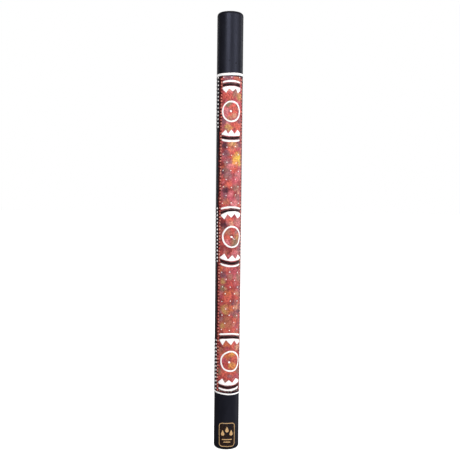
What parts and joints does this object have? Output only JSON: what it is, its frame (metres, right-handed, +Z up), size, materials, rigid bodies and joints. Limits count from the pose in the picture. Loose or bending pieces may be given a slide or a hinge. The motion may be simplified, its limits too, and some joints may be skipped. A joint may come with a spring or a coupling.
{
  "type": "rainstick",
  "caption": "Painted bamboo rainstick: a closed tube with a spiral of pins inside and loose grains that slide from end to end when it is turned over.",
  "frame": {"origin": "centre of the foot, where the lower plug stands", "axes": "+Z up along the tube to the wider grip, the front panel faces -Y, +X is to the right seen from the front"},
  "size_m": [0.0614, 0.0618, 1.016],
  "materials": {
    "black_lacquer": "satin black lacquer over bamboo and wood",
    "pin_wood": "bare split bamboo",
    "dark_pebble": "dull river pebble",
    "pale_pebble": "dull river pebble",
    "brown_seed": "smooth dry seed",
    "white_paint": "raised white acrylic paint",
    "panel_paint": "sponged red, orange, yellow and plum acrylic paint",
    "maroon_paint": "dark red acrylic paint",
    "salmon_paint": "raised salmon acrylic paint",
    "gold_paint": "dull gold paint"
  },
  "bodies": {
    "stick": {"bamboo_tube": "black_lacquer", "top_plug": "black_lacquer", "bottom_plug": "black_lacquer", "rattle_pins": "pin_wood", "upper_ring": "white_paint", "lower_ring": "white_paint", "front_panel": "panel_paint", "back_panel": "panel_paint", "front_borders": "maroon_paint", "back_borders": "maroon_paint", "front_border_beads": "salmon_paint", "back_border_beads": "salmon_paint", "front_white_arcs": "white_paint", "back_white_arcs": "white_paint", "front_dark_arcs": "maroon_paint", "back_dark_arcs": "maroon_paint", "front_toothed_bands": "white_paint", "back_toothed_bands": "white_paint", "front_circles": "white_paint", "back_circles": "white_paint", "front_centre_dots": "white_paint", "back_centre_dots": "white_paint", "front_scatter_dots": "white_paint", "back_scatter_dots": "white_paint", "left_column_dots": "white_paint", "right_column_dots": "white_paint", "label_frame": "gold_paint", "label_drops": "gold_paint"},
    "large_grains": {"large_pebbles": "dark_pebble"},
    "medium_grains": {"medium_pebbles": "pale_pebble"},
    "small_grains": {"small_seeds": "brown_seed"}
  },
  "joints": [
    {"name": "large_pebbles_fall", "type": "slide", "parent": "stick", "child": "large_grains", "axis": [0, 0, 1], "range_m": [0, 0.933]},
    {"name": "medium_pebbles_fall", "type": "slide", "parent": "stick", "child": "medium_grains", "axis": [0, 0, 1], "range_m": [0, 0.933]},
    {"name": "small_seeds_fall", "type": "slide", "parent": "stick", "child": "small_grains", "axis": [0, 0, 1], "range_m": [0, 0.933]}
  ]
}
